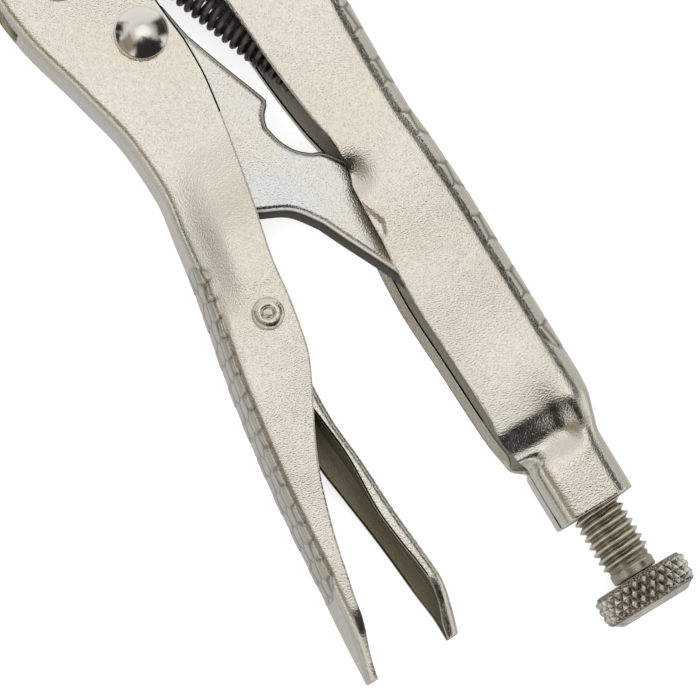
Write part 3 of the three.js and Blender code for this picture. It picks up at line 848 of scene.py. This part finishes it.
def rivet_profile(shank, head, dome, grip, crater):
    """Half of a rivet's profile from its middle to the top of its head, as (radius, height)."""
    base = grip / 2 + 0.05
    points = [(shank, 0), (shank, base), (head - 0.12, base), (head, base + 0.12)]
    if crater:
        for r, h in ((1, 0.25), (0.975, 0.45), (0.9, 0.7), (0.78, 0.88), (0.64, 0.97), (0.52, 1), (0.43, 0.95),
                     (0.38, 0.82), (0.35, 0.45), (0.28, 0.14), (0.15, 0.2), (0.02, 0.26)):
            points.append((head * r, base + dome * h))
        return points
    rim = base + 0.3 * dome
    points += [(head, rim), (head - 0.1, rim + 0.08), (head - 0.22, rim + 0.08), (0.94 * head, rim)]
    for t in np.linspace(0.93, 0.02, 18):
        points.append((head * t, base + dome * (1 - 0.68 * t * t)))
    return points


def rivet(name, pivot, shank, head, dome, grip, crater=False):
    upper = rivet_profile(shank, head, dome, grip, crater)
    lower = [(r, -h) for r, h in upper[:0:-1]]
    heights, radii = turned_profile(lower + upper, 72, 0.5)
    return turned(name, heights, radii, pivot)


def jaw_spring():
    rear = np.array([*SPRING_REAR, 0.0])
    hook = np.array([*SPRING_HOOK, 0.0])
    reach = np.linalg.norm(hook - rear)
    along = (hook - rear) / reach
    over = np.array([-along[1], along[0], 0])

    def at(distance, side, z):
        return rear + along * distance + over * side + np.array([0, 0, z])

    points = [*[at(distance, 0, 0) for distance in (-2, -1, 0, 1, 2)], at(3.1, 0.5, 0.1)]
    steps_per_turn = 24
    start, length = 4.0, 38.5
    for i in range(SPRING_TURNS * steps_per_turn + 1):
        turn = i / steps_per_turn
        radius = COIL_RADIUS * min(1, 0.35 + 1.3 * turn, 0.35 + 1.3 * (SPRING_TURNS - turn))
        angle = 2 * math.pi * turn
        distance = start + length * turn / SPRING_TURNS
        points.append(at(distance, radius * math.cos(angle), radius * math.sin(angle)))
    points.append(at(reach - 9.2, 0.5, 1.8))
    bend = [(8, 2.8), (6.5, 3.7), (5, 4.35), (3.5, 4.6), (2, 4.5), (1, 4.1), (0.2, 3.4), (0, 2.2), (0, 0.8)]
    points += [at(reach - before, 0, z) for before, z in bend]
    return swept("jaw_spring_wire", points, WIRE_RADIUS, 12)


# ---- materials

class Nodes:
    """A node tree. A value given for a socket is a plain one or another node's output."""

    def __init__(self, owner, coordinates):
        owner.use_nodes = True
        self.nodes, self.links = owner.node_tree.nodes, owner.node_tree.links
        self.coordinates = self.nodes.new("ShaderNodeTexCoord").outputs[coordinates]

    def feed(self, socket, value):
        if isinstance(value, bpy.types.NodeSocket):
            self.links.new(value, socket)
        elif value is not None:
            socket.default_value = value

    def fed(self, node, inputs):
        """The outputs of a node once its inputs are fed."""
        for socket, value in inputs.items():
            self.feed(node.inputs[socket], value)
        return node.outputs

    def math(self, operation, a, b=None, c=None):
        node = self.nodes.new("ShaderNodeMath")
        node.operation = operation
        return self.fed(node, {0: a, 1: b, 2: c})["Value"]

    def vector_math(self, operation, a, b=None):
        node = self.nodes.new("ShaderNodeVectorMath")
        node.operation = operation
        return self.fed(node, {0: a, 1: b})

    def noise(self, scale, detail, roughness=0.5):
        node = self.nodes.new("ShaderNodeTexNoise")
        inputs = {"Vector": self.coordinates, "Scale": scale, "Detail": detail, "Roughness": roughness}
        return self.fed(node, inputs)["Fac"]

    def span(self, source, low, high, share=1.0, interpolation="LINEAR"):
        """Maps low to 0 and high to share, with nothing beyond."""
        node = self.nodes.new("ShaderNodeMapRange")
        node.interpolation_type = interpolation
        inputs = {"Value": source, "From Min": low, "From Max": high, "To Max": share}
        return self.fed(node, inputs)["Result"]

    def mix(self, factor, one, other):
        node = self.nodes.new("ShaderNodeMix")
        node.data_type = "RGBA"
        return self.fed(node, {"Factor": factor, "A": one, "B": other})["Result"]

    def ramp(self, source, stops):
        """Maps a value to (place, colour) stops, where a single number is a grey."""
        node = self.nodes.new("ShaderNodeValToRGB")
        elements = node.color_ramp.elements
        while len(elements) < len(stops):
            elements.new(0.5)
        for element, (at, color) in zip(elements, stops):
            element.position = at
            element.color = (*color, 1) if isinstance(color, tuple) else (color, color, color, 1)
        return self.fed(node, {"Fac": source})["Color"]


class Finish(Nodes):
    """A node material, with noise in the piece's own coordinates."""

    def __init__(self, name, color, roughness, metallic=1.0):
        self.slot = name
        self.material = bpy.data.materials.new(name)
        super().__init__(self.material, "Object")
        self.surface = self.nodes["Principled BSDF"].inputs
        self.surface["Base Color"].default_value = (*color, 1)
        self.surface["Roughness"].default_value = roughness
        self.surface["Metallic"].default_value = metallic

    def speckle(self, size, detail, roughness=0.5):
        """Noise whose features are about size millimetres across."""
        return self.noise(1 / (size * MM), detail, roughness)

    def painted(self, color):
        """Makes this the surface's colour, and gives it on for layers that go over it."""
        self.feed(self.surface["Base Color"], color)
        return color

    def color(self, source, stops):
        """Colours the surface by a value."""
        return self.painted(self.ramp(source, stops))

    def layer(self, mask, under, over):
        """Lays a plain colour over another where the mask is 1."""
        return self.painted(self.mix(mask, under, (*over, 1)))

    def vary(self, name, source, low, high, start=0, end=1):
        """Varies a number of the surface between low and high by a value."""
        self.feed(self.surface[name], self.ramp(source, [(start, low), (end, high)]))

    def roughness(self, source, low, high):
        self.vary("Roughness", source, low, high, 0.3, 0.7)

    def marked(self, name, share):
        """A mask stored on the mesh, weakened to a share of its strength."""
        node = self.nodes.new("ShaderNodeAttribute")
        node.attribute_name = name
        return self.span(node.outputs["Fac"], 0, 1, share)

    def screw_radius(self):
        """Distance from the axis of the adjusting screw, in millimetres."""
        offset = self.vector_math("SUBTRACT", self.coordinates, ORIGIN)["Vector"]
        side = self.vector_math("MULTIPLY", offset, (0, 1 / MM, 1 / MM))["Vector"]
        return self.vector_math("LENGTH", side)["Value"]

    def sides(self):
        """1 on faces that stand up and 0 on faces that lie flat."""
        normal = self.nodes.new("ShaderNodeTexCoord").outputs["Normal"]
        split = self.fed(self.nodes.new("ShaderNodeSeparateXYZ"), {"Vector": normal})
        return self.span(self.math("ABSOLUTE", split["Z"]), 0.9, 0.6)

    def grain(self, *layers):
        """Bump from layers of (noise, height in millimetres)."""
        normal = None
        for source, height in layers:
            node = self.nodes.new("ShaderNodeBump")
            inputs = {"Strength": 1.0, "Distance": height * MM, "Height": source, "Normal": normal}
            normal = self.fed(node, inputs)["Normal"]
        self.feed(self.surface["Normal"], normal)


def nickel():
    """Bright speckled plating, with painted shade in the stamped grooves and on the inner faces of the sheet.
    """
    finish = Finish("nickel_plate", (0.80, 0.74, 0.65), 0.26)
    plating = finish.color(finish.speckle(30, 1), [(0.35, (0.79, 0.735, 0.62)), (0.65, (0.83, 0.785, 0.69))])
    # Painted shade in the stamped grooves.
    groove_shaded = finish.layer(finish.marked("groove", 0.8), plating, (0.17, 0.15, 0.11))
    # Painted shade over the inner faces of the sheet, which are also made less metallic.
    inside = finish.marked("inside", 1.0)
    finish.layer(inside, groove_shaded, (0.10, 0.085, 0.055))
    finish.vary("Metallic", inside, 1.0, 0.45)
    finish.roughness(finish.speckle(1.2, 3), 0.15, 0.22)
    finish.grain((finish.speckle(0.26, 0.5), 0.045), (finish.speckle(17, 0), 0.5))
    return finish


def jaw_steel():
    """Satin steel with scattered marks of forging scale."""
    finish = Finish("jaw_steel", (0.74, 0.71, 0.65), 0.36)
    satin = finish.color(finish.speckle(12, 3), [(0.35, (0.60, 0.57, 0.50)), (0.65, (0.76, 0.73, 0.66))])
    scale = finish.span(finish.speckle(1.6, 5, 0.7), 0.60, 0.74, 0.6)
    finish.layer(scale, satin, (0.34, 0.31, 0.27))
    finish.roughness(finish.speckle(0.8, 3), 0.24, 0.40)
    finish.grain((finish.speckle(0.4, 2), 0.06), (finish.speckle(6, 1), 0.22))
    return finish


def zinc():
    """Plating with a faint play of colours, and dark cut sides."""
    finish = Finish("zinc_plate", (0.78, 0.78, 0.76), 0.24)
    plating = finish.color(finish.speckle(19, 0.6), [
        (0.36, (0.77, 0.775, 0.75)), (0.45, (0.79, 0.775, 0.70)), (0.52, (0.81, 0.765, 0.665)),
        (0.60, (0.80, 0.76, 0.71)), (0.68, (0.765, 0.775, 0.735))])
    sides = finish.sides()
    finish.layer(sides, plating, (0.028, 0.026, 0.018))
    finish.vary("Roughness", sides, 0.2, 0.62)
    finish.vary("Metallic", sides, 1.0, 0.15)
    finish.grain((finish.speckle(0.28, 0.5), 0.045), (finish.speckle(15, 0), 0.45))
    return finish


def polished():
    finish = Finish("rivet_steel", (0.86, 0.82, 0.75), 0.1)
    finish.roughness(finish.speckle(2.0, 3), 0.07, 0.14)
    finish.grain((finish.speckle(1.6, 3), 0.02))
    return finish


def screw_steel():
    """Dark steel, with a painted highlight on the crests of the thread."""
    finish = Finish("screw_steel", (0.42, 0.38, 0.30), 0.34)
    oxide = finish.color(finish.speckle(5, 2), [(0.3, (0.31, 0.27, 0.20)), (0.7, (0.43, 0.39, 0.30))])
    # Painted highlight on the crests of the thread, by distance from the axis.
    crest = SCREW_RADIUS - 0.05
    finish.layer(finish.span(finish.screw_radius(), crest - 0.6, crest, 0.95), oxide, (0.90, 0.85, 0.74))
    finish.roughness(finish.speckle(1.6, 2), 0.24, 0.32)
    finish.grain((finish.speckle(0.3, 2), 0.012))
    return finish


def knob_nickel():
    """Plating, with painted shade in the valleys between the points of the knurl."""
    finish = Finish("knob_nickel", (0.66, 0.61, 0.52), 0.27)
    plating = finish.color(finish.speckle(4, 2), [(0.3, (0.74, 0.69, 0.60)), (0.7, (0.87, 0.82, 0.73))])
    # Painted shade in the valleys of the knurl, by distance from the axis.
    reach = finish.span(finish.screw_radius(), KNOB_RADIUS - 2, KNOB_RADIUS)
    valley_shade = finish.ramp(reach, [(0.46, 0), (0.52, 0.8), (0.60, 0.8), (0.92, 0)])
    finish.layer(valley_shade, plating, (0.21, 0.185, 0.135))
    finish.roughness(finish.speckle(0.7, 3), 0.18, 0.30)
    finish.grain((finish.speckle(0.35, 2), 0.012))
    return finish


def black_spring():
    finish = Finish("black_spring", (0.022, 0.021, 0.02), 0.32, 0.6)
    finish.color(finish.speckle(2, 3), [(0.35, (0.026, 0.025, 0.023)), (0.7, (0.075, 0.070, 0.062))])
    finish.roughness(finish.speckle(0.8, 2), 0.24, 0.42)
    finish.grain((finish.speckle(0.3, 2), 0.01))
    return finish


# ---- stage

def stage_floor():
    """A pale floor under the tool."""
    reach = 4.0
    low, _ = cad_bounds
    corners = [(-reach, -reach, low.z), (reach, -reach, low.z), (reach, reach, low.z), (-reach, reach, low.z)]
    floor = mesh_object("floor", corners, [(0, 1, 2, 3)])
    paper = Finish("floor", (0.25, 0.25, 0.25), 0.9, 0.0)
    paper.surface["Emission Color"].default_value = (1, 1, 1, 1)
    paper.surface["Emission Strength"].default_value = 0.72
    paper.surface["Specular IOR Level"].default_value = 0.1
    floor.data.materials.append(paper.material)
    floor.visible_glossy = False


class Sky(Nodes):
    """Nodes that colour the studio by direction."""

    def towards(self, direction):
        """Cosine of the angle to a direction."""
        return self.vector_math("DOT_PRODUCT", self.coordinates, Vector(direction).normalized())["Value"]

    def rise(self, source, low, high):
        """Rises smoothly from 0 at low to 1 at high."""
        return self.span(source, low, high, interpolation="SMOOTHSTEP")

    def bands(self, source, stops):
        """Colours by cosine, from -1 to 1."""
        stops = [((at + 1) / 2, color) for at, color in stops]
        return self.ramp(self.math("MULTIPLY_ADD", source, 0.5, 0.5), stops)


def studio_world():
    """A pale tent round the tool, bright overhead, with dark strips along its sides and a few dark flags."""
    world = bpy.data.worlds.new("studio")
    bpy.context.scene.world = world
    sky = Sky(world, "Generated")
    height = sky.math("MULTIPLY_ADD", sky.noise(2.2, 1.0), 0.05, sky.towards((0.08, -0.19, 1)))
    height = sky.math("SUBTRACT", height, 0.025)
    low = [(-1.0, 0.55), (-0.7, 0.56), (-0.4, 0.64), (-0.1, 0.52), (0.1, 0.58), (0.3, 0.88), (0.45, 0.88)]
    high = [(0.95, 0.66), (0.972, 0.96), (0.988, 1.06), (1.0, 1.14)]
    far_side = sky.bands(height, [*low, (0.55, 0.70), (0.67, 0.14), (0.75, 0.03), (0.86, 0.05), *high])
    near_side = sky.bands(height, [
        *low, (0.56, (0.50, 0.44, 0.36)), (0.76, (0.27, 0.225, 0.16)), (0.88, (0.33, 0.28, 0.21)), *high])
    ends = sky.bands(height, [*low, (0.75, 0.82), (0.88, 0.78), *high])
    sides = sky.mix(sky.rise(sky.towards((0, 1, 0)), -0.15, 0.15), far_side, near_side)
    along = sky.math("ABSOLUTE", sky.towards((1, 0, 0)))
    tent = sky.mix(sky.rise(along, 0.18, 0.34), sides, ends)
    ragged = sky.noise(3.5, 2.0)
    patches = sky.math("MULTIPLY", sky.rise(ragged, 0.48, 0.66), sky.rise(height, 0.80, 0.45))
    tent = sky.mix(sky.math("MULTIPLY", patches, 0.55), tent, (0.10, 0.095, 0.085, 1))
    for flag, width in (((0.52, 0.46, 0.72), 0.14), ((-0.52, -0.08, 0.85), 0.28)):
        reach = math.cos(width * math.pi / 2)
        edge = sky.math("MULTIPLY_ADD", ragged, 0.22, sky.towards(flag))
        tent = sky.mix(sky.rise(edge, reach + 0.05, reach + 0.14), tent, (0.025, 0.025, 0.027, 1))
    seen = sky.nodes.new("ShaderNodeLightPath").outputs["Is Camera Ray"]
    background = sky.nodes["Background"].inputs
    sky.feed(background["Color"], sky.mix(seen, tent, (0.95, 0.95, 0.95, 1)))
    sky.feed(background["Strength"], 1.0)


def soft_light(name, location, size, power):
    """A round lamp aimed at the handles and not seen in reflections."""
    data = bpy.data.lights.new(name, "AREA")
    data.shape = "DISK"
    data.size = size
    data.energy = power
    light = linked(name, data)
    light.location = location
    light.rotation_euler = (spot(80, 20) - light.location).to_track_quat("-Z", "Y").to_euler()
    light.visible_glossy = False


def studio_lights():
    soft_light("overhead", spot(80, 20, 700), 0.8, 11.0)
    soft_light("side", spot(-250, 350, 450), 0.5, 3.0)


def studio_camera():
    """Looks at the tail half of the tool from above, with the handles running down the picture."""
    data = bpy.data.cameras.new("camera")
    data.lens = 250
    data.sensor_width = 36
    data.clip_end = 10
    view_width = 0.125
    back = Vector((-0.0795, 0.190, 1)).normalized()
    right = Vector((0.8536, -0.521, 0)).cross(back).normalized()
    up = back.cross(right)
    place_at = spot(46.9, 23.2) + back * view_width * data.lens / data.sensor_width
    turn = Matrix((right, up, back)).transposed().to_4x4()
    camera = linked("camera", data)
    camera.matrix_world = Matrix.Translation(place_at) @ turn
    bpy.context.scene.camera = camera


# ---- assembly

def add(piece, body, node, finish):
    """Gives a piece its material, attaches it to the body it moves with if one is given, and hides the CAD node
    it stands in for.
    """
    piece.data.materials.clear()
    piece.data.materials.append(finish.material)
    if body:
        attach(piece, body)
    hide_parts(node)
    return piece


def add_spring():
    """Adds the spring without a body, with its placement baked into its mesh."""
    spring = add(jaw_spring(), None, "jaw_spring", black_spring())
    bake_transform(spring)


def build_pliers():
    plate, forged, bright = nickel(), jaw_steel(), polished()
    grip, neck = 2 * GRIP_HALF, 2 * NECK_HALF
    add(fixed_handle(), "fixed_handle", "fixed_handle", plate)
    add(spring_tab(), "fixed_handle", "fixed_handle", plate)
    add(fixed_jaw(), "fixed_handle", "fixed_jaw", forged)
    add(moving_jaw(), "moving_jaw", "moving_jaw", forged)
    add(moving_handle(), "moving_handle", "moving_handle", plate)
    add(release_lever(), "release_lever", "release_lever", plate)
    add(toggle_link(), "toggle_link", "toggle_link", zinc())
    add(adjusting_screw(), "adjusting_screw", "adjusting_screw", screw_steel())
    add(knob(), "knob", "knob", knob_nickel())
    for name, pivot, shank, head, dome, width, body in (
            ("fixed_jaw_rear_rivet", REAR_RIVET, 2, 3.6, 1.0, grip, "fixed_handle"),
            ("fixed_jaw_front_rivet", FRONT_RIVET, 2, 3.6, 1.0, grip, "fixed_handle"),
            ("jaw_pivot_rivet", JAW_PIVOT, 4, 6.4, 1.3, grip, "fixed_handle"),
            ("handle_pivot_rivet", HANDLE_PIVOT, 3, 5.2, 1.4, neck, "moving_handle"),
            ("link_rivet", LINK_PIVOT, 2.5, 5, 1.8, neck, "moving_handle")):
        add(rivet(name + "_body", pivot, shank, head, dome, width), body, name, bright)
    lever_rivet = rivet("lever_rivet_body", LEVER_PIVOT, 1.8, 2.95, 0.9, grip, crater=True)
    add(lever_rivet, "moving_handle", "lever_rivet", plate)
    add_spring()


bpy.context.scene.view_settings.view_transform = "Standard"
studio_camera()
studio_world()
studio_lights()
stage_floor()
build_pliers()
